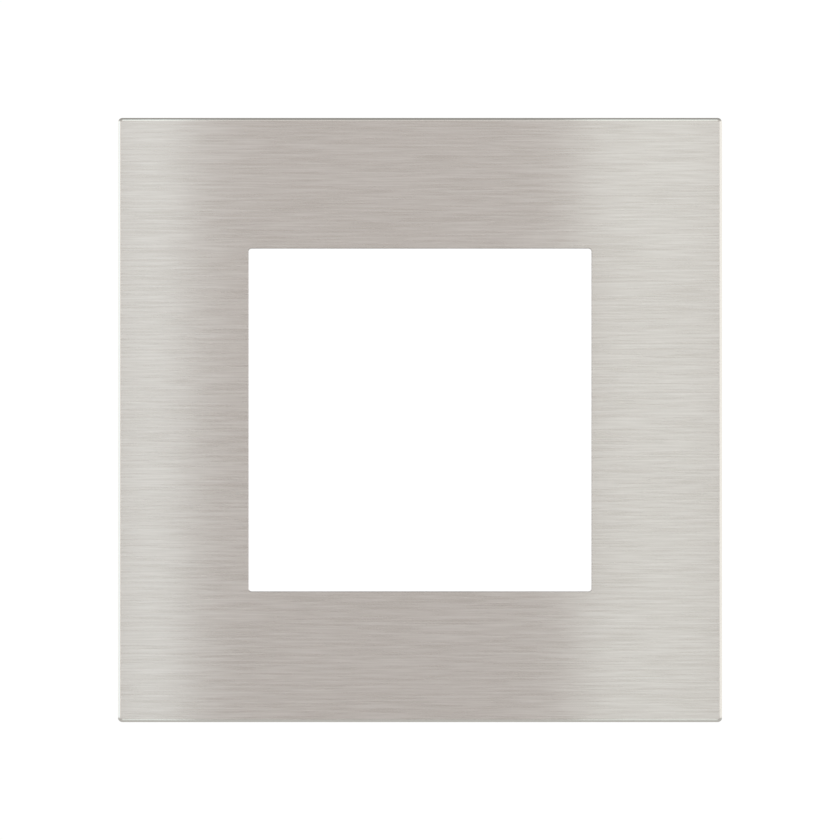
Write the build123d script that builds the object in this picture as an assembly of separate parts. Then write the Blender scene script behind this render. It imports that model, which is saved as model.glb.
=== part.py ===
"""Single wall-switch cover frame for a 45 mm module, on its sprung mounting support.

Millimetres.  +Z is up, the front faces -Y, and the wall surface is the plane y = 0.
The origin is the centre of the window, on the wall surface.  Depths y are negative
in front of the wall and positive inside the wall box.

The cover (steel face plate, tape, moulded carrier, four clip springs) pulls straight
off the support (steel plate, moulded liner, four sprung catches, two box screws).
"""
from build123d import *
import os

# --- cover frame -------------------------------------------------------------
frame_size = 80.0          # side of the square face plate
frame_corner = 0.6         # outer corner radius of the face plate
module_size = 45.0         # side of the switch module that the window takes
window_gap = 0.2           # face plate to module, each side
window_corner = 0.4        # corner radius of the window
cover_depth = 8.5          # wall surface to the front of the face plate
plate_thick = 2.0          # face plate
edge_round = 0.4           # rounding of the plate's outer front edges
window_round = 0.1         # broken edge round the window
tape_thick = 0.4           # bonding tape between plate and carrier
tape_width = 10.0
tape_end_gap = 2.0         # tape stops this far inside the carrier's outline
carrier_inset = 1.0        # shadow gap behind the edge of the face plate
carrier_window_gap = 0.2   # the carrier's window is this much wider, each side
carrier_corner = 1.0
web_thick = 1.5            # carrier, flat part behind the plate
wall_thick = 1.8           # carrier, side walls
rib_width = 1.2            # centring ribs inside the side walls
rib_places = (-24.0, -8.0, 8.0)
prise_width = 8.0          # screwdriver notch in the bottom wall
prise_depth = 1.2

# --- clip springs ------------------------------------------------------------
clip_thick = 0.4
clip_width = 9.0
clip_place = 22.0          # middle of the clip along its side
clip_space = 1.7           # carrier wall to support flange, where the clip lives
clip_base = 5.7            # foot of the clip, inwards from its leaf
clip_bulge = 0.4           # how far the clip reaches into the flange
clip_wall_gap = 0.1
clip_rise = 1.3            # depth of each half of the V
clip_bend = 0.5            # bend radius at the point of the V
clip_foot_bend = 0.3       # bend radius at the clip's foot
stake_radius = 0.7         # moulded pins that hold the clips
stake_head_radius = 1.2
stake_head_thick = 0.25
stake_spacing = 5.2
stake_setback = 3.7        # pins from the leaf of the clip

# --- mounting support --------------------------------------------------------
sheet = 1.0                # steel sheet of the support
bend_radius = 0.5          # inside radius of its folds
flange_length = 60.0
flange_front_gap = 0.3     # front of the flange to the clip's foot
support_corner = 3.0
support_relief = 2.0       # corners of the sheet stand back from the flanges
catch_height = 1.6         # slot in the flange for the clip's bulge
catch_play = 0.5           # slot wider than the clip, each side
box_pitch = 60.0           # fixing centres of a wall box
box_hole = 4.0             # plain fixing holes, above and below the window
slot_width = 4.2           # levelling slots, left and right of the window
slot_length = 8.0
corner_hole = 3.6          # surface fixing holes near the corners
corner_hole_inset = 6.5    # from the outside of the flanges
claw_width = 2.2           # slots that box claws reach through
claw_length = 7.0
claw_corner = 0.5
claw_height = 19.0         # above and below the levelling slots
arrow_radius = 1.3         # cut-out arrow that points to the top
arrow_place = 4.4          # from the middle, beside the upper plain hole

# --- module liner ------------------------------------------------------------
liner_setback = 0.4        # liner's window outside the face plate's window, each side
collar_wall = 1.2
collar_corner = 0.8
collar_back = 2.0          # how far the collar reaches into the wall box
collar_front_gap = 0.3     # collar to the carrier's web
sheet_gap = 0.2            # collar to the steel sheet around it
lip_width = 1.7            # lip that lies on the sheet
lip_thick = 1.2
pin_radius = 0.8           # moulded pins through the sheet
pin_head_radius = 1.4
pin_head_thick = 0.6
pin_pad_radius = 2.0
pin_height = 11.5          # pins above and below the middle
pin_play = 0.1

# --- sprung catches ----------------------------------------------------------
latch_width = 7.0          # foot of the catch
latch_neck = 5.0
latch_nose = 6.0
latch_foot_thick = 1.2
latch_length = 4.0         # foot, without the nose
latch_bite = 1.0           # nose inside the outside face of the collar
latch_travel = 1.4
latch_play = 0.15          # catch to its guide, each side
latch_lift = 0.1           # catch to the steel sheet under it
latch_front_gap = 0.3      # catch set back from the front of its guide
latch_chamfer = 0.7
grip_count = 3             # finger ribs across the catch
grip_depth = 0.4
guide_wall = 1.0
guide_end_wall = 1.2
guide_front_gap = 0.5      # guide to the carrier's web
wing_depth = 0.8           # notch for the module's wing, behind the wall surface

# --- catch springs -----------------------------------------------------------
spring_length = 4.2
spring_radius = 1.1        # outside
spring_wire = 0.3
spring_turns = 6
spring_end_gap = 0.02
spigot_radius = 0.6
spigot_length = 0.9

# --- box screws --------------------------------------------------------------
screw_radius = 1.6
screw_length = 20.0        # under the head
screw_head_radius = 2.9
screw_head_thick = 2.2
screw_head_round = 0.9
screw_tip = 0.5
recess_width = 0.9
recess_length = 3.6
recess_depth = 1.3
retainer_radius = 3.2      # nylon washer that keeps the screw in its slot
retainer_thick = 0.8
retainer_gap = 0.3         # washer to the back of the sheet

# --- levels and lines that follow from the sizes above -------------------------
y_front = -cover_depth
y_plate_back = y_front + plate_thick
y_web_front = y_plate_back + tape_thick
y_web_back = y_web_front + web_thick
y_clip_foot = y_web_back + clip_thick
y_flange_front = y_clip_foot + flange_front_gap
y_sheet = -sheet
y_catch = -(sheet + bend_radius + catch_height / 2)
y_collar_front = y_web_back + collar_front_gap
y_guide_front = y_web_back + guide_front_gap
y_latch_back = y_sheet - latch_lift
y_latch_step = y_latch_back - latch_foot_thick
y_guide_step = y_latch_step - latch_play
y_latch_front = y_guide_front + latch_front_gap
y_spring = y_latch_back - spring_radius

window_half = module_size / 2 + window_gap
carrier_half = frame_size / 2 - carrier_inset
carrier_inside = carrier_half - wall_thick
support_half = carrier_inside - clip_space
collar_inside = window_half + liner_setback
collar_outside = collar_inside + collar_wall
sheet_window = collar_outside + sheet_gap
latch_place = module_size / 4
latch_foot = collar_outside + latch_play
latch_end = latch_foot + latch_length
guide_end = latch_end + spring_length
guide_half = latch_width / 2 + latch_play + guide_wall
pin_side = collar_outside + pin_pad_radius

SIDES = {"right": 0, "top": 90, "left": 180, "bottom": 270}


def block(x, y, z):
    """A box between pairs of coordinates."""
    size = [abs(b - a) for a, b in (x, y, z)]
    middle = [(a + b) / 2 for a, b in (x, y, z)]
    return Pos(*middle) * Box(*size)


def slab(outline, y0, y1):
    """A sketch in x and z, made solid between two depths."""
    plane = Plane(origin=(0, max(y0, y1), 0), x_dir=(1, 0, 0), z_dir=(0, -1, 0))
    return extrude(plane * outline, amount=abs(y1 - y0))


def square(half, corner):
    return RectangleRounded(2 * half, 2 * half, corner)


def disc(radius, x, z, y0, y1):
    return slab(Pos(x, z) * Circle(radius), y0, y1)


def turned(shape, angle):
    """Turn from the right-hand side of the frame to another side, anticlockwise from the front."""
    return Rot(0, -angle, 0) * shape


def front_edges(shape, y):
    return [e for e in shape.edges() if abs(e.center().Y - y) < 1e-4
            and abs(e.bounding_box().size.Y) < 1e-4]


def face_plate():
    plate = slab(square(frame_size / 2, frame_corner), y_front, y_plate_back)
    plate = fillet(front_edges(plate, y_front), edge_round)
    plate -= slab(square(window_half, window_corner), y_front - 1, y_plate_back + 1)
    window = [e for e in front_edges(plate, y_front) if max(abs(e.center().X), abs(e.center().Z)) < window_half + 0.01]
    return fillet(window, window_round)


def bonding_tape():
    outer = carrier_half - tape_end_gap
    inner = window_half + carrier_window_gap + tape_end_gap
    middle = (outer + inner) / 2
    strip = block((middle - tape_width / 2, middle + tape_width / 2), (y_plate_back, y_web_front),
                  (-outer, inner))
    return Compound(children=[turned(strip, angle) for angle in SIDES.values()])


def clip_leaf_line():
    """Radius of the middle of the clip's leaf, from the window's centre."""
    return carrier_inside - clip_wall_gap - clip_thick / 2


def stake_places():
    r = clip_leaf_line() - stake_setback
    return [(r, clip_place + side * stake_spacing / 2) for side in (-1, 1)]


def clip_spring():
    """Stainless strip: a foot on the web, then a leaf with a V that bites the flange."""
    leaf = clip_leaf_line()
    peak_loss = clip_bend * (2 ** 0.5 - 1)
    bulge = support_half - clip_bulge + clip_thick / 2 - peak_loss
    foot = y_web_back + clip_thick / 2
    line = FilletPolyline((leaf - clip_base, foot), (leaf, foot), (leaf, y_catch - clip_rise),
                          (bulge, y_catch), (leaf, y_catch + clip_rise),
                          radius=[clip_foot_bend, clip_foot_bend, clip_bend])
    strip = extrude(Plane((0, 0, clip_place - clip_width / 2)) * trace(line, clip_thick), amount=clip_width)
    for r, z in stake_places():
        strip -= disc(stake_radius, r, z, y_web_back - 1, y_clip_foot + 1)
    return strip


def carrier_frame():
    carrier = slab(square(carrier_half, carrier_corner), y_web_front, 0)
    carrier -= slab(square(carrier_inside, carrier_corner), y_web_back, 1)
    window = window_half + carrier_window_gap
    carrier -= slab(square(window, window_corner), y_web_front - 1, 1)
    rib_reach = clip_space - window_gap
    for angle in SIDES.values():
        for place in rib_places:
            rib = block((carrier_inside - rib_reach, carrier_inside + wall_thick / 2),
                        (y_web_back - web_thick / 2, y_sheet),
                        (place - rib_width / 2, place + rib_width / 2))
            carrier += turned(rib, angle)
        for r, z in stake_places():
            pin = disc(stake_radius, r, z, y_web_back - web_thick / 2, y_clip_foot)
            head = disc(stake_head_radius, r, z, y_clip_foot, y_clip_foot + stake_head_thick)
            carrier += turned(pin + head, angle)
    carrier -= block((-prise_width / 2, prise_width / 2), (-prise_depth, 1),
                     (-carrier_half - 1, -carrier_inside + 0.5))
    return carrier


def support_plate():
    flat = support_half - support_relief
    plate = slab(square(flat, support_corner), y_sheet, 0)
    inner = flat - sheet
    profile = Polyline((inner, 0), (support_half, 0), (support_half, y_flange_front),
                       (support_half - sheet, y_flange_front), (support_half - sheet, y_sheet),
                       (inner, y_sheet), close=True)
    section = make_face(profile)
    outer_bend = section.vertices().sort_by_distance((support_half, 0, 0))[0]
    section = fillet(outer_bend, sheet + bend_radius)
    inner_bend = section.vertices().sort_by_distance((support_half - sheet, y_sheet, 0))[0]
    section = fillet(inner_bend, bend_radius)
    flange = Pos(0, 0, -flange_length / 2) * extrude(section, amount=flange_length)
    flange -= block((support_half - 2 * sheet, support_half + sheet),
                    (y_catch - catch_height / 2, y_catch + catch_height / 2),
                    (clip_place - clip_width / 2 - catch_play, clip_place + clip_width / 2 + catch_play))
    for angle in SIDES.values():
        plate += turned(flange, angle)
    plate -= slab(square(sheet_window, collar_corner), y_sheet - 1, 1)
    corner = support_half - corner_hole_inset
    for side in (-1, 1):
        plate -= disc(box_hole / 2, 0, side * box_pitch / 2, y_sheet - 1, 1)
        slot = Pos(side * box_pitch / 2, 0) * Rot(0, 0, 90) * SlotOverall(slot_length, slot_width)
        plate -= slab(slot, y_sheet - 1, 1)
        for other in (-1, 1):
            plate -= disc(corner_hole / 2, side * corner, other * corner, y_sheet - 1, 1)
            claw = Pos(side * box_pitch / 2, other * claw_height) * RectangleRounded(claw_width, claw_length, claw_corner)
            plate -= slab(claw, y_sheet - 1, 1)
            plate -= disc(pin_radius + pin_play, side * pin_side, other * pin_height, y_sheet - 1, 1)
    arrow = Pos(arrow_place, box_pitch / 2) * RegularPolygon(arrow_radius, 3, rotation=90)
    plate -= slab(arrow, y_sheet - 1, 1)
    return plate


def latch_guide():
    """Guide for the upper right catch: a block on the liner with a stepped groove."""
    x0, x1 = latch_place - guide_half, latch_place + guide_half
    guide = block((x0, x1), (y_guide_front, y_sheet), (collar_inside + collar_wall / 2, guide_end + guide_end_wall))
    foot = latch_width / 2 + latch_play
    neck = latch_neck / 2 + latch_play
    guide -= block((latch_place - foot, latch_place + foot), (y_guide_step, 1), (0, guide_end))
    guide -= block((latch_place - neck, latch_place + neck), (y_guide_front - 1, 1), (0, guide_end))
    spigot = Cylinder(spigot_radius, spigot_length + guide_end_wall / 2)
    z = guide_end - spigot_length / 2 + guide_end_wall / 4
    return guide + Pos(latch_place, y_spring, z) * spigot


def mirrored(shape, right, top):
    if not right:
        shape = mirror(shape, about=Plane.YZ)
    if not top:
        shape = mirror(shape, about=Plane.XY)
    return shape


def module_liner():
    lip = collar_outside + lip_width
    liner = slab(square(collar_outside, collar_corner), y_collar_front, collar_back)
    liner += slab(square(lip, collar_corner), y_sheet - lip_thick, y_sheet)
    for right in (True, False):
        for top in (True, False):
            liner += mirrored(latch_guide(), right, top)
            pad = disc(pin_pad_radius, pin_side, pin_height, y_sheet - lip_thick, y_sheet)
            pin = disc(pin_radius, pin_side, pin_height, y_sheet, 0)
            head = disc(pin_head_radius, pin_side, pin_height, 0, pin_head_thick)
            liner += mirrored(pad + pin + head, right, top)
    liner -= slab(square(collar_inside, collar_corner), y_collar_front - 1, collar_back + 1)
    nose = latch_nose / 2 + latch_play
    foot = latch_width / 2 + latch_play
    for right in (True, False):
        for top in (True, False):
            notch = block((latch_place - nose, latch_place + nose), (y_collar_front - 1, wing_depth),
                          (0, collar_outside))
            run = block((latch_place - foot, latch_place + foot), (y_guide_step, y_sheet),
                        (collar_outside, lip + 1))
            liner -= mirrored(notch + run, right, top)
    return liner


def latch():
    """Upper right catch: stepped slider with a bevelled nose and finger ribs."""
    x = latch_place
    half_foot, half_neck, half_nose = latch_width / 2, latch_neck / 2, latch_nose / 2
    body = block((x - half_foot, x + half_foot), (y_latch_step, y_latch_back), (latch_foot, latch_end))
    body += block((x - half_neck, x + half_neck), (y_latch_front, y_latch_step), (latch_foot, latch_end))
    tip = collar_outside - latch_bite
    nose = block((x - half_nose, x + half_nose), (y_latch_step, y_latch_back), (tip, latch_foot + 1))
    edge = [e for e in nose.edges() if abs(e.center().Z - tip) < 1e-4 and abs(e.center().Y - y_latch_step) < 1e-4]
    body += chamfer(edge, latch_chamfer)
    pitch = latch_length / (grip_count + 1)
    for i in range(grip_count):
        z = latch_foot + pitch * (i + 1)
        groove = Pos(x, y_latch_front, z) * Rot(45, 0, 0) * Box(latch_neck + 1, grip_depth, grip_depth)
        body -= groove
    spigot = Cylinder(spigot_radius, spigot_length + latch_length / 4)
    z = latch_end + spigot_length / 2 - latch_length / 8
    return body + Pos(x, y_spring, z) * spigot


def latch_spring():
    """Upper right compression spring between the catch and the end of its guide."""
    mean = spring_radius - spring_wire / 2
    height = spring_length - spring_wire - 2 * spring_end_gap
    path = Helix(pitch=height / spring_turns, height=height, radius=mean)
    start = Plane(origin=path @ 0, z_dir=path % 0)
    coil = sweep(start * Circle(spring_wire / 2), path=path)
    return Pos(latch_place, y_spring, latch_end + spring_end_gap + spring_wire / 2) * coil


def box_screw():
    """Pan-head screw about its own axis, head towards -Y."""
    y_top = y_sheet - screw_head_thick
    head = disc(screw_head_radius, 0, 0, y_top, y_sheet)
    head = fillet(front_edges(head, y_top), screw_head_round)
    tip = y_sheet + screw_length
    shank = disc(screw_radius, 0, 0, y_sheet, tip)
    shank = chamfer(front_edges(shank, tip), screw_tip)
    screw = head + shank
    for angle in (0, 90):
        recess = block((-recess_length / 2, recess_length / 2), (y_top - 1, y_top + recess_depth),
                       (-recess_width / 2, recess_width / 2))
        screw -= turned(recess, angle)
    return screw


def screw_retainer():
    y0 = retainer_gap
    washer = disc(retainer_radius, 0, 0, y0, y0 + retainer_thick)
    return washer - disc(screw_radius, 0, 0, y0 - 1, y0 + retainer_thick + 1)


def all_parts():
    parts = {
        "face_plate": face_plate(),
        "bonding_tape": bonding_tape(),
        "carrier_frame": carrier_frame(),
        "support_plate": support_plate(),
        "module_liner": module_liner(),
    }
    for side, angle in SIDES.items():
        parts[f"clip_spring_{side}"] = turned(clip_spring(), angle)
    for right in (True, False):
        side = "right" if right else "left"
        place = Pos((1 if right else -1) * box_pitch / 2, 0, 0)
        parts[f"box_screw_{side}"] = place * box_screw()
        parts[f"screw_retainer_{side}"] = place * screw_retainer()
        for top in (True, False):
            name = f"{'top' if top else 'bottom'}_{side}"
            parts[f"latch_{name}"] = mirrored(latch(), right, top)
            parts[f"latch_spring_{name}"] = mirrored(latch_spring(), right, top)
    return parts


os.makedirs("parts", exist_ok=True)
for name, shape in all_parts().items():
    export_step(shape, f"parts/{name}.step")
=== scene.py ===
"""Square brushed-metal cover frame for a rocker-switch module, with the support that holds it.

Metres.  +Z is up, the front faces -Y and the wall surface is the plane y = 0.  The frame
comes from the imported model; the sections follow the object from the front plate back to
the screws, and the studio comes last.
"""
import math

import bmesh
import bpy
from mathutils import Matrix, Vector


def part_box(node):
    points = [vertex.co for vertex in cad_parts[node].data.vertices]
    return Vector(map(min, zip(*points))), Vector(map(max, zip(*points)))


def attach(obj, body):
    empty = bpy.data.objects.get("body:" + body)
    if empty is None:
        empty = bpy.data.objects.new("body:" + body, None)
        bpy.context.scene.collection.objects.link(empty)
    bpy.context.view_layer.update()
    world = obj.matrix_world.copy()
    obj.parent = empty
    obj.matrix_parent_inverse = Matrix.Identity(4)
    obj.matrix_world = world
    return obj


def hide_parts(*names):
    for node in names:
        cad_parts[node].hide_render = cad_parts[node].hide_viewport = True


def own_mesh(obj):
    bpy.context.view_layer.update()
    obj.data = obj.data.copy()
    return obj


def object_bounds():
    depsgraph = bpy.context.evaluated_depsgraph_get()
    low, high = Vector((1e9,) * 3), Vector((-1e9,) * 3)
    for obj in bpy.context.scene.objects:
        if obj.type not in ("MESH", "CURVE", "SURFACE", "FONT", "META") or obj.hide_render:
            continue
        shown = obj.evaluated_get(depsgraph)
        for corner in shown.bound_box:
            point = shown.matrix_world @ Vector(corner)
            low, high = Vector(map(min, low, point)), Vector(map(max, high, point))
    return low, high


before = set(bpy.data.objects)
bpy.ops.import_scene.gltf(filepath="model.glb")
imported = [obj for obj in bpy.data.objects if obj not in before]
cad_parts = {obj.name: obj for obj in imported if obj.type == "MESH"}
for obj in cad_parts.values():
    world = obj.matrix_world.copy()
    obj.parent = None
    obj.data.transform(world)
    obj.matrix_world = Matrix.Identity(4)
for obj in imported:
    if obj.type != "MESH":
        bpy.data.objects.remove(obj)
cad_low, cad_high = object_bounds()


# Face plate: a square of nickel-toned steel sheet, cut with an open window, its outer edges
# rounded and its face brushed from side to side with a belt, which leaves fine streaks a few
# millimetres long.  It is bonded to the carrier behind it.
MM = 0.001


class Socket:
    """An output of a node, with the sums that the finishes need."""

    def __init__(self, finish, output):
        self.finish = finish
        self.output = output

    def __add__(self, other):
        return self.finish.sum("ADD", self, other)

    def __sub__(self, other):
        return self.finish.sum("SUBTRACT", self, other)

    def __mul__(self, other):
        return self.finish.sum("MULTIPLY", self, other)

    def __rsub__(self, other):
        return self.finish.sum("SUBTRACT", other, self)

    __radd__ = __add__
    __rmul__ = __mul__


class Network:
    """A node tree, and the one way in which its nodes are made."""

    def __init__(self, tree):
        self.tree = tree

    def node(self, kind, settings={}, inputs={}, output=0):
        """A node of any kind: its settings first, then the values or links of its sockets."""
        made = self.tree.nodes.new(kind)
        for name, value in settings.items():
            if name == "stops":
                ramp = made.color_ramp.elements
                while len(ramp) < len(value):
                    ramp.new(0.5)
                for stop, (position, level) in zip(ramp, value):
                    stop.position = position
                    stop.color = (level, level, level, 1)
            else:
                setattr(made, name, value)
        for name, value in inputs.items():
            self.feed(made.inputs[name], value)
        return Socket(self, made.outputs[output])

    def feed(self, socket, value):
        if isinstance(value, Socket):
            self.tree.links.new(value.output, socket)
        else:
            socket.default_value = value

    def sum(self, operation, a, b):
        return self.node("ShaderNodeMath", {"operation": operation}, {0: a, 1: b})


class Finish(Network):
    """A material built round one Principled shader."""

    def __init__(self, name, **constants):
        self.material = bpy.data.materials.new(name)
        self.material.use_nodes = True
        super().__init__(self.material.node_tree)
        self.shader = self.tree.nodes["Principled BSDF"]
        self.place = self.node("ShaderNodeTexCoord", output="Object")
        self.set(constants)

    def set(self, values):
        for name, value in values.items():
            self.feed(self.shader.inputs[name.replace("_", " ")], value)

    def noise(self, size, detail=2.0):
        """Noise of 0 to 1, its features about size across: one length, or x, y and z."""
        lengths = size if isinstance(size, tuple) else (size, size, size)
        scale = tuple(1 / length for length in lengths)
        stretched = self.node("ShaderNodeMapping", {}, {"Vector": self.place, "Scale": scale})
        return self.node("ShaderNodeTexNoise", {},
                         {"Vector": stretched, "Scale": 1.0, "Detail": detail})

    def cells(self, size, output):
        """Cells about size across, each with its own colour and the distance to its middle."""
        return self.node("ShaderNodeTexVoronoi", {},
                         {"Vector": self.place, "Scale": 1 / size}, output=output)

    def ramp(self, value, zero, one):
        """0 to 1 as a value goes from one number to another."""
        return self.node("ShaderNodeMapRange", {},
                         {"Value": value, "From Min": zero, "From Max": one})

    def tint(self, amount, low, high):
        """A colour between two others, each of which is three numbers or a socket."""
        low, high = (c if isinstance(c, Socket) else (*c, 1) for c in (low, high))
        return self.node("ShaderNodeMix", {"data_type": "RGBA", "clamp_factor": True},
                         {"Factor": amount, 6: low, 7: high}, output=2)

    def rounded(self, radius):
        """Normals that turn smoothly over the edges of the piece."""
        return self.node("ShaderNodeBevel", {"samples": 6}, {"Radius": radius})

    def bump(self, height, depth, edge_radius=0):
        """Normals of a relief that is depth metres deep, with the edges rounded off too."""
        inputs = {"Height": height, "Distance": depth, "Strength": 1.0}
        if edge_radius:
            inputs["Normal"] = self.rounded(edge_radius)
        return self.node("ShaderNodeBump", {}, inputs)

    def edges(self, radius):
        """1 along the edges of the piece, 0 on its faces."""
        sharpness = 4
        flat = self.node("ShaderNodeNewGeometry", output="Normal")
        same = self.node("ShaderNodeVectorMath", {"operation": "DOT_PRODUCT"},
                         {0: self.rounded(radius), 1: flat}, output="Value")
        return (1 - same) * sharpness


def dress(node, finish):
    """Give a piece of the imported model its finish."""
    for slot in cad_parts[node].material_slots:
        slot.material = finish.material


EDGE_ROUNDING = 0.4 * MM
LONG_STREAK = (10 * MM, 10 * MM, 0.25 * MM)
SHORT_STREAK = (4.2 * MM, 4.2 * MM, 0.17 * MM)
BROAD_BAND = (25 * MM, 25 * MM, 2.0 * MM)
STREAK_DEPTH = 0.004 * MM


def brushed_nickel(low, high):
    """Brushed face and sides, with a polished rounding between them on the outer edges, whose
    lighter colour is partly a painted highlight.
    """
    dark, light = (0.566, 0.515, 0.476), (0.700, 0.647, 0.607)
    # The rounding's colour is lighter than the brushed metal: partly real polish, partly a
    # painted highlight along the outer edges.
    polish_with_painted_highlight = (0.885, 0.85, 0.785)
    contrast, roughness, polish = 3.05, 0.28, 0.5
    finish = Finish("brushed_nickel", Metallic=1.0, Anisotropic=0.93, Anisotropic_Rotation=0.25)
    streaks = (finish.noise(LONG_STREAK, detail=0.0) * 0.45
               + finish.noise(SHORT_STREAK, detail=0.0) * 0.38
               + finish.noise(BROAD_BAND) * 0.17)
    uneven = streaks - 0.5
    across, depth, up = (finish.node("ShaderNodeSeparateXYZ", {}, {0: finish.place}, output=axis)
                         for axis in "XYZ")
    reach = finish.sum("MAXIMUM", finish.sum("ABSOLUTE", across, 0),
                       finish.sum("ABSOLUTE", up, 0))
    outside = finish.ramp(reach, high.x - EDGE_ROUNDING, high.x - EDGE_ROUNDING * 0.8)
    forward = finish.ramp(depth, low.y + EDGE_ROUNDING * 1.2, low.y + EDGE_ROUNDING)
    edge = outside * forward
    brushed = finish.tint(uneven * contrast + 0.5, dark, light)
    finish.set({
        # Painted highlight: the lighter polished colour laid along the outer rounding, on top of
        # its lower roughness.
        "Base Color": finish.tint(edge, brushed, polish_with_painted_highlight),
        "Roughness": (roughness + uneven * 0.10) * (1 - edge * polish),
        "Normal": finish.bump(streaks, STREAK_DEPTH),
    })
    return finish


dress("face_plate", brushed_nickel(*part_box("face_plate")))


# Bonding tape: four strips of black acrylic foam, 0.4 mm thick, that hold the plate on the
# carrier.  They are cut from a roll, so the closed cells show along their edges.
def bonding_foam():
    black, grey = (0.010, 0.010, 0.011), (0.042, 0.042, 0.044)
    finish = Finish("bonding_foam")
    cells = finish.cells(0.30 * MM, "Distance")
    creases = finish.noise((9 * MM, 2 * MM, 9 * MM), detail=3.0)
    finish.set({
        "Base Color": finish.tint(cells * 0.6 + creases * 0.4, black, grey),
        "Roughness": 0.82 + creases * 0.14,
        "Normal": finish.bump(cells, 0.04 * MM),
    })
    return finish


dress("bonding_tape", bonding_foam())


# Carrier: the moulded body behind the plate, of dark grey glass-filled plastic.  The mould
# is spark-eroded, so the faces have a fine dull grain, and the edges wear smooth and light.
def carrier_plastic():
    dark, light, rubbed = (0.030, 0.031, 0.033), (0.060, 0.061, 0.064), (0.115, 0.115, 0.118)
    finish = Finish("carrier_plastic")
    grain = finish.noise(0.16 * MM, detail=3.0)
    flow = finish.noise((22 * MM, 5 * MM, 9 * MM), detail=3.0)
    worn = finish.edges(0.25 * MM)
    moulded = finish.tint(grain * 0.35 + flow * 0.65, dark, light)
    finish.set({
        "Base Color": finish.tint(worn * 0.5, moulded, rubbed),
        "Roughness": 0.50 + grain * 0.22 - worn * 0.10,
        "Normal": finish.bump(grain, 0.020 * MM, edge_radius=0.20 * MM),
    })
    return finish


dress("carrier_frame", carrier_plastic())


# Clip springs: four bent strips of bright rolled stainless steel, one in each side wall,
# pushed over moulded pins.  The rolls leave fine lines along each strip.
def spring_steel(name, line_size):
    dark, light, bare = (0.40, 0.385, 0.365), (0.66, 0.64, 0.61), (0.78, 0.77, 0.75)
    finish = Finish(name, Metallic=1.0, Anisotropic=0.5)
    lines = finish.noise(line_size, detail=2.0)
    smears = finish.noise(2.5 * MM, detail=3.0)
    cut = finish.edges(0.06 * MM)
    rolled = finish.tint(lines * 0.7 + smears * 0.3, dark, light)
    finish.set({
        "Base Color": finish.tint(cut, rolled, bare),
        "Roughness": 0.18 + lines * 0.10 + smears * 0.12,
        "Normal": finish.bump(lines, 0.003 * MM, edge_radius=0.05 * MM),
    })
    return finish


upright_strip = spring_steel("spring_steel_upright", (9 * MM, 9 * MM, 0.11 * MM))
level_strip = spring_steel("spring_steel_level", (0.11 * MM, 9 * MM, 9 * MM))
for side in ("right", "left"):
    dress(f"clip_spring_{side}", upright_strip)
for side in ("top", "bottom"):
    dress(f"clip_spring_{side}", level_strip)


# Support: a pressing of 1 mm steel sheet with folded flanges, zinc-plated after punching.
# The plating has a cold tone, faint crystals and handling marks, and is bright on the edges.
def zinc_plating():
    dark, light, bright = (0.43, 0.455, 0.485), (0.72, 0.735, 0.755), (0.83, 0.84, 0.85)
    finish = Finish("zinc_plated_steel", Metallic=1.0)
    crystals = finish.cells(4.5 * MM, "Color")
    clouds = finish.noise(14 * MM, detail=4.0)
    fine = finish.noise(0.35 * MM, detail=2.0)
    cut = finish.edges(0.12 * MM)
    plated = finish.tint(crystals * 0.30 + clouds * 0.50 + fine * 0.20, dark, light)
    finish.set({
        "Base Color": finish.tint(cut * 0.8, plated, bright),
        "Roughness": 0.24 + crystals * 0.08 + clouds * 0.16 + fine * 0.06,
        "Normal": finish.bump(fine, 0.004 * MM, edge_radius=0.12 * MM),
    })
    return finish


dress("support_plate", zinc_plating())


# Module liner: the collar, lip and catch guides in one off-white satin moulding, fixed to
# the sheet by four pins whose ends are formed over like rivets.
def liner_plastic():
    dark, light, rubbed = (0.66, 0.645, 0.595), (0.75, 0.735, 0.69), (0.82, 0.81, 0.78)
    finish = Finish("liner_plastic")
    satin = finish.noise(0.25 * MM, detail=2.0)
    flow = finish.noise((7 * MM, 16 * MM, 7 * MM), detail=3.0)
    worn = finish.edges(0.2 * MM)
    finish.set({
        "Base Color": finish.tint(worn * 0.5, finish.tint(flow, dark, light), rubbed),
        "Roughness": 0.34 + satin * 0.16 + flow * 0.06,
        "Normal": finish.bump(satin, 0.006 * MM, edge_radius=0.15 * MM),
    })
    return finish


dress("module_liner", liner_plastic())


# Catches: four slick orange acetal sliders with finger ribs.  Each slides in a stepped
# groove of the liner, and its bevelled nose holds a wing of the module.
def catch_plastic():
    dark, light, rubbed = (0.56, 0.110, 0.012), (0.68, 0.155, 0.020), (0.80, 0.28, 0.07)
    finish = Finish("latch_plastic", Specular_IOR_Level=0.55)
    skin = finish.noise(0.4 * MM, detail=2.0)
    flow = finish.noise((3 * MM, 3 * MM, 6 * MM), detail=3.0)
    worn = finish.edges(0.15 * MM)
    finish.set({
        "Base Color": finish.tint(worn * 0.6, finish.tint(flow, dark, light), rubbed),
        "Roughness": 0.26 + skin * 0.12 + flow * 0.08,
        "Normal": finish.bump(skin, 0.004 * MM, edge_radius=0.12 * MM),
    })
    return finish


acetal = catch_plastic()
CORNERS = [f"{level}_{side}" for level in ("top", "bottom") for side in ("right", "left")]
for corner in CORNERS:
    dress(f"latch_{corner}", acetal)


# Catch springs: compression springs coiled from 0.3 mm drawn wire, with closed end turns.
# Each sits on a spigot of its catch and one of its guide, and shortens as the catch slides.
WIRE = 0.3 * MM
CLOSED_TURNS, CLOSED_PITCH = 1.0, 1.06 * WIRE
OPEN_TURNS = 4.5


def piece(name, mesh_maker):
    """An object whose mesh is filled in by a function that takes a bmesh."""
    shape = bmesh.new()
    mesh_maker(shape)
    bmesh.ops.recalc_face_normals(shape, faces=shape.faces)
    mesh = bpy.data.meshes.new(name)
    shape.to_mesh(mesh)
    shape.free()
    made = bpy.data.objects.new(name, mesh)
    bpy.context.collection.objects.link(made)
    return made


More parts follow.
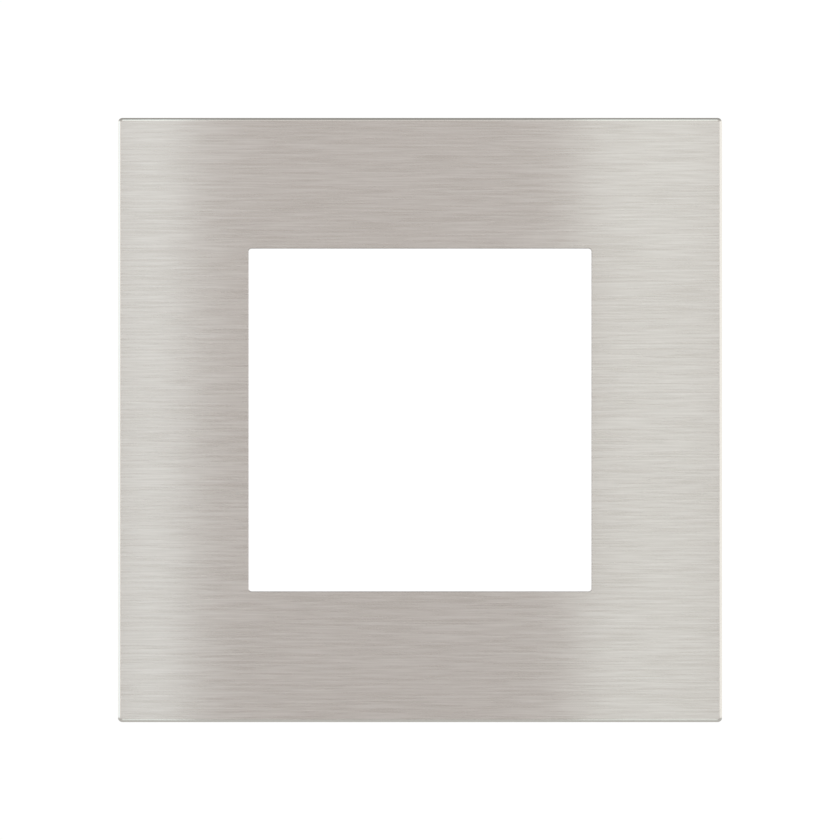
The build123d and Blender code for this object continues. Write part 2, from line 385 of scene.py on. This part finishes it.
def skin_rings(shape, rings):
    """Faces between successive rings of points, with a cap at each end."""
    loops = [[shape.verts.new(point) for point in ring] for ring in rings]
    for one, next_one in zip(loops, loops[1:]):
        for i in range(len(one)):
            j = (i + 1) % len(one)
            shape.faces.new((one[i], one[j], next_one[j], next_one[i]))
    shape.faces.new(loops[0])
    shape.faces.new(loops[-1])


def coil(low, high):
    """Rings of wire along a helix in the given box, its pitch opening between closed ends."""
    axis = (low + high) / 2
    mean = (high.x - low.x - WIRE) / 2
    length = high.z - low.z - WIRE
    open_pitch = (length - 2 * CLOSED_TURNS * CLOSED_PITCH) / OPEN_TURNS
    turns = 2 * CLOSED_TURNS + OPEN_TURNS
    steps_per_turn, sides = 30, 10
    steps = int(turns * steps_per_turn)

    def rise(turn):
        opened = min(max(turn - CLOSED_TURNS, 0), OPEN_TURNS)
        return (turn - opened) * CLOSED_PITCH + opened * open_pitch

    rings = []
    for step in range(steps + 1):
        turn = turns * step / steps
        angle = 2 * math.pi * turn
        outward = Vector((math.cos(angle), math.sin(angle), 0))
        around = Vector((-outward.y, outward.x, 0))
        middle = Vector((axis.x, axis.y, low.z + WIRE / 2 + rise(turn))) + outward * mean
        opening = CLOSED_TURNS < turn < CLOSED_TURNS + OPEN_TURNS
        pitch = open_pitch if opening else CLOSED_PITCH
        forward = (around * 2 * math.pi * mean + Vector((0, 0, pitch))).normalized()
        upward = outward.cross(forward)
        rings.append([middle + (outward * math.cos(a) + upward * math.sin(a)) * WIRE / 2
                      for a in (2 * math.pi * k / sides for k in range(sides))])
    return rings


def drawn_wire():
    dark, light = (0.34, 0.335, 0.33), (0.66, 0.65, 0.63)
    finish = Finish("spring_wire", Metallic=1.0)
    drawing = finish.noise(0.12 * MM, detail=2.0)
    oil = finish.noise(1.2 * MM, detail=3.0)
    finish.set({
        "Base Color": finish.tint(drawing * 0.5 + oil * 0.5, dark, light),
        "Roughness": 0.16 + drawing * 0.12 + oil * 0.12,
        "Normal": finish.bump(drawing, 0.002 * MM),
    })
    return finish


wire_finish = drawn_wire()
for corner in CORNERS:
    node = f"latch_spring_{corner}"
    spring_low, spring_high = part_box(node)
    wire_rings = coil(spring_low, spring_high)
    spring = piece(f"coil_{corner}", lambda shape: skin_rings(shape, wire_rings))
    spring.data.shade_smooth()
    spring.data.materials.append(wire_finish.material)
    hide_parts(node)
    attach(spring, "support")
    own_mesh(spring)


# Box screws: pan-head steel screws with a cross recess and a coarse rolled thread, plated
# with yellow-tinted zinc.  A nylon washer keeps each one in its levelling slot.
HEAD_RADIUS = 2.9 * MM
HEAD_THICK = 2.2 * MM
HEAD_ROUND = 0.9 * MM
HEAD_BREAK = 0.15 * MM
NECK_BLEND = 0.1 * MM
NECK_RADIUS = 1.55 * MM
NECK_LENGTH = 2.4 * MM
CREST_RADIUS = 1.6 * MM
ROOT_RADIUS = 1.15 * MM
RIDGE_WIDTH, RIDGE_FLAT = 0.62, 1.15
THREAD_PITCH = 1.25 * MM
TIP_LENGTH, TIP_WIDTH = 1.4 * MM, 0.35
RECESS = (  # depth, length of an arm and half its width, in millimetres
    (-0.5, 1.95, 0.50),
    (0.0, 1.80, 0.45),
    (1.1, 0.95, 0.30),
    (1.3, 0.5, 0.25),
)


def screw_rings(axis, front, back):
    """Rings from the middle of the head to the tip; the thread turns with its depth."""
    sides, round_steps, per_pitch = 36, 7, 10
    outline = [(0.3 * MM, front), (1.2 * MM, front), (HEAD_RADIUS - HEAD_ROUND, front)]
    for k in range(1, round_steps + 1):
        angle = math.pi / 2 * k / round_steps
        outline.append((HEAD_RADIUS - HEAD_ROUND * (1 - math.sin(angle)),
                        front + HEAD_ROUND * (1 - math.cos(angle))))
    under = front + HEAD_THICK
    outline += [(HEAD_RADIUS, under - HEAD_BREAK), (HEAD_RADIUS - HEAD_BREAK, under),
                (NECK_RADIUS + NECK_BLEND, under), (NECK_RADIUS, under + NECK_BLEND)]
    start = under + NECK_LENGTH
    rings = [[(r, y)] * sides for r, y in outline] + [[(NECK_RADIUS, start)] * sides]
    count = int((back - start) / THREAD_PITCH * per_pitch)
    for k in range(1, count + 1):
        y = start + (back - start) * k / count
        fade_in = min(1, (y - start) / THREAD_PITCH)
        taper = min(1, TIP_WIDTH + (1 - TIP_WIDTH) * (back - y) / TIP_LENGTH)
        ring = []
        for i in range(sides):
            phase = (y / THREAD_PITCH + i / sides) % 1
            ridge = max(0, 1 - abs(2 * phase - 1) / RIDGE_WIDTH)
            radius = ROOT_RADIUS + (CREST_RADIUS - ROOT_RADIUS) * min(1, ridge * RIDGE_FLAT)
            ring.append(((NECK_RADIUS + (radius - NECK_RADIUS) * fade_in) * taper, y))
        rings.append(ring)
    angles = [2 * math.pi * i / sides for i in range(sides)]
    return [[(axis.x + r * math.cos(angle), y, axis.z + r * math.sin(angle))
             for (r, y), angle in zip(ring, angles)] for ring in rings]


def recess_rings(axis, front):
    """A cross that narrows with depth, to cut out of the head."""
    rings = []
    for depth, arm, half in RECESS:
        quarter = [(arm, -half), (arm, half), (half, half)]
        ring = []
        for turn in range(4):
            for x, z in quarter:
                for _ in range(turn):
                    x, z = -z, x
                ring.append((axis.x + x * MM, front + depth * MM, axis.z + z * MM))
        rings.append(ring)
    return rings


def yellow_zinc():
    dark, light, bright = (0.50, 0.44, 0.27), (0.74, 0.70, 0.52), (0.80, 0.79, 0.72)
    finish = Finish("screw_steel", Metallic=1.0)
    iris = finish.noise(1.6 * MM, detail=3.0)
    fine = finish.noise(0.15 * MM, detail=2.0)
    worn = finish.edges(0.10 * MM)
    plated = finish.tint(iris * 0.8 + fine * 0.2, dark, light)
    finish.set({
        "Base Color": finish.tint(worn * 0.7, plated, bright),
        "Roughness": 0.20 + iris * 0.14 + fine * 0.08,
        "Normal": finish.bump(fine, 0.003 * MM, edge_radius=0.08 * MM),
    })
    return finish


SHARP_FROM = math.radians(35)
screw_finish = yellow_zinc()
for side in ("right", "left"):
    node = f"box_screw_{side}"
    head_low, tip_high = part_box(node)
    axis = (head_low + tip_high) / 2
    front, back = head_low.y, tip_high.y
    screw = piece(f"pan_head_screw_{side}",
                  lambda shape: skin_rings(shape, screw_rings(axis, front, back)))
    cutter = piece("recess_cutter", lambda shape: skin_rings(shape, recess_rings(axis, front)))
    cut = screw.modifiers.new("recess", "BOOLEAN")
    cut.object, cut.operation, cut.solver = cutter, "DIFFERENCE", "EXACT"
    solid = screw.evaluated_get(bpy.context.evaluated_depsgraph_get())
    finished = bpy.data.meshes.new_from_object(solid)
    screw.modifiers.clear()
    screw.data = finished
    bpy.data.objects.remove(cutter)
    finished.shade_smooth()
    finished.set_sharp_from_angle(angle=SHARP_FROM)
    finished.materials.clear()
    finished.materials.append(screw_finish.material)
    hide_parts(node)
    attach(screw, node)


# Screw washers: stamped discs of natural nylon, pressed over the threads behind the sheet.
# Nylon is slightly waxy and yellows a little.
def natural_nylon():
    aged, fresh = (0.66, 0.64, 0.54), (0.80, 0.79, 0.71)
    finish = Finish("retainer_nylon", Subsurface_Weight=0.25, Subsurface_Scale=0.6 * MM)
    waxy = finish.noise(1.5 * MM, detail=3.0)
    fine = finish.noise(0.2 * MM, detail=2.0)
    finish.set({
        "Base Color": finish.tint(waxy, aged, fresh),
        "Roughness": 0.32 + waxy * 0.14,
        "Normal": finish.bump(fine, 0.006 * MM, edge_radius=0.12 * MM),
    })
    return finish


nylon = natural_nylon()
for side in ("right", "left"):
    dress(f"screw_retainer_{side}", nylon)


# Studio: white surroundings, two tall narrow lights close to the front plate, whose glow lies
# along its left and right limbs, a wide bluish box far to the left, and a pale floor.
FRONT = cad_low.y
CAMERA_DISTANCE = 3.2
VIEW_WIDTH = 111.2 * MM

camera = bpy.data.objects.new("camera", bpy.data.cameras.new("camera"))
bpy.context.collection.objects.link(camera)
camera.location = (0, FRONT - CAMERA_DISTANCE, 0)
camera.rotation_euler = (math.radians(90), 0, 0)
camera.data.lens = camera.data.sensor_width * CAMERA_DISTANCE / VIEW_WIDTH
camera.data.clip_end = 10
bpy.context.scene.camera = camera


def soft_light(name, place, aim, width, height, radiance, colour):
    """A rectangular light of an even radiance, hidden from the lens."""
    data = bpy.data.lights.new(name, "AREA")
    data.shape = "RECTANGLE"
    data.size, data.size_y = width, height
    data.energy = radiance * math.pi * width * height
    data.color = colour
    light = bpy.data.objects.new(name, data)
    bpy.context.collection.objects.link(light)
    light.location = place
    light.rotation_euler = (Vector(aim) - Vector(place)).to_track_quat("-Z", "Y").to_euler()
    light.visible_camera = False


STRIP_DISTANCE, STRIP_HEIGHT, STRIP_LENGTH = 0.09, 0.06, 0.34
for name, x, width, radiance, colour in (
        ("left_strip", -0.0370, 0.0105, 0.465, (0.82, 1.0, 1.04)),
        ("right_strip", 0.0325, 0.0220, 0.365, (0.82, 0.995, 1.0))):
    soft_light(name, (x, -STRIP_DISTANCE, STRIP_HEIGHT), (x, 0, STRIP_HEIGHT),
               width, STRIP_LENGTH, radiance, colour)

BOX_SIDE = 0.9
soft_light("left_box", (-0.9, -0.25, 0), (0, 0, 0), BOX_SIDE, BOX_SIDE, 0.26, (0.15, 0.60, 1.0))


FLOOR = Matrix.Translation((0, 0, -0.13))
FLOOR_RADIUS = 1.2
floor = piece("floor", lambda shape: bmesh.ops.create_circle(
    shape, cap_ends=True, segments=128, radius=FLOOR_RADIUS, matrix=FLOOR))


def pale_board():
    """Matt pale board, clear from underneath so that views from below see the object."""
    finish = Finish("pale_board", Emission_Color=(1, 1, 1, 1), Emission_Strength=0.10)
    mottle = finish.noise(0.06, detail=3.0)
    finish.set({"Base Color": finish.tint(mottle, (0.82, 0.82, 0.815), (0.86, 0.86, 0.855)),
                "Roughness": 0.75 + mottle * 0.1})
    under = finish.node("ShaderNodeNewGeometry", output="Backfacing")
    clear = finish.node("ShaderNodeBsdfTransparent")
    board = Socket(finish, finish.shader.outputs[0])
    mixed = finish.node("ShaderNodeMixShader", {}, {0: under, 1: board, 2: clear})
    finish.feed(finish.tree.nodes["Material Output"].inputs["Surface"], mixed)
    return finish


floor.data.materials.append(pale_board().material)


def surroundings():
    """White all round at eye level, dimmer overhead and underneath."""
    world = bpy.data.worlds.new("surroundings")
    world.use_nodes = True
    bpy.context.scene.world = world
    sky = Network(world.node_tree)
    brightest = 1.25
    levels = {-1.0: 0.55, -0.45: 0.70, -0.15: 0.98, -0.05: 1.02, 0.05: 1.02,
              0.15: 1.15, 0.25: 1.05, 0.45: 0.52, 1.0: 0.30}
    direction = sky.node("ShaderNodeTexCoord", output="Generated")
    height = sky.node("ShaderNodeSeparateXYZ", {}, {0: direction}, output="Z")
    stops = [(0.5 + z / 2, level / brightest) for z, level in levels.items()]
    glow = sky.node("ShaderNodeValToRGB", {"stops": stops}, {0: height * 0.5 + 0.5})
    background = world.node_tree.nodes["Background"]
    sky.feed(background.inputs["Color"], glow)
    sky.feed(background.inputs["Strength"], brightest)


surroundings()
bpy.context.scene.view_settings.view_transform = "Standard"
